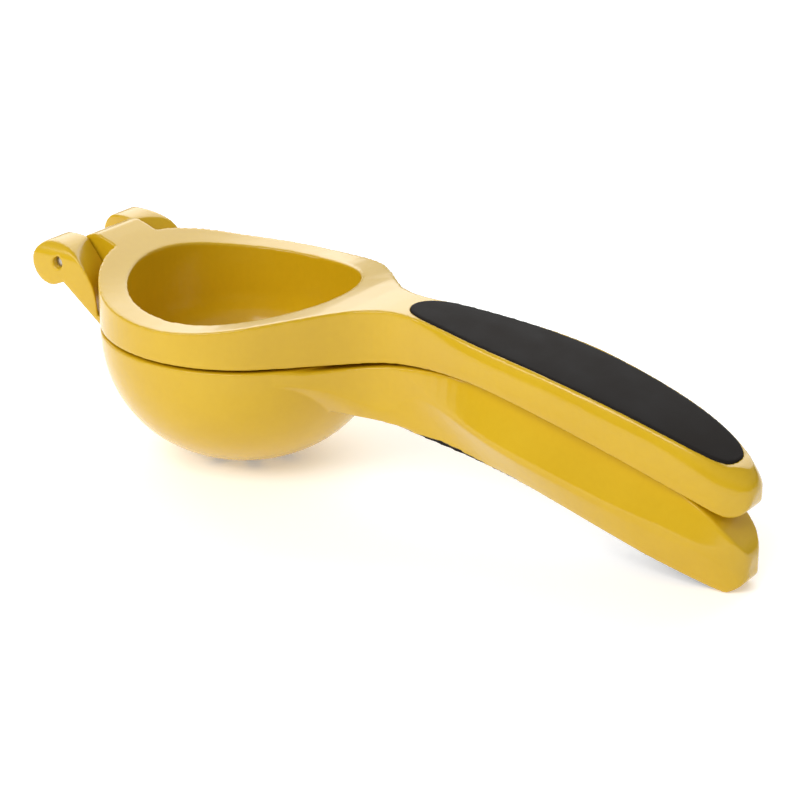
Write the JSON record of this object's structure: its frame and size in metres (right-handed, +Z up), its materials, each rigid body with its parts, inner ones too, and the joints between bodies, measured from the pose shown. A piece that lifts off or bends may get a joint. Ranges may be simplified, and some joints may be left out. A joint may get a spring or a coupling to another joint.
{
  "type": "hinged citrus press",
  "caption": "Hand-held citrus press: bowl with a handle, nesting press cup with a handle, side ears, a hinge pin and soft leaf-shaped grips.",
  "frame": {"origin": "under the middle of the bowl, on the surface the press rests on", "axes": "+X from the bowl to the handles' ends, +Y across the handles, +Z up"},
  "size_m": [0.2187, 0.08, 0.0564],
  "materials": {
    "enamel": "glossy yellow coat on cast aluminium",
    "pin_steel": "satin",
    "grip_rubber": "matte, finely textured"
  },
  "bodies": {
    "lower": {"bowl_arm": "enamel", "lower_grip": "grip_rubber", "hinge_pin": "pin_steel"},
    "upper": {"press_arm": "enamel", "upper_grip": "grip_rubber"}
  },
  "joints": [
    {"name": "press_hinge", "type": "hinge", "parent": "lower", "child": "upper", "pos_m": [-0.0499, 0, 0.0504], "axis": [0, -1, 0], "range_deg": [0, 110]}
  ]
}
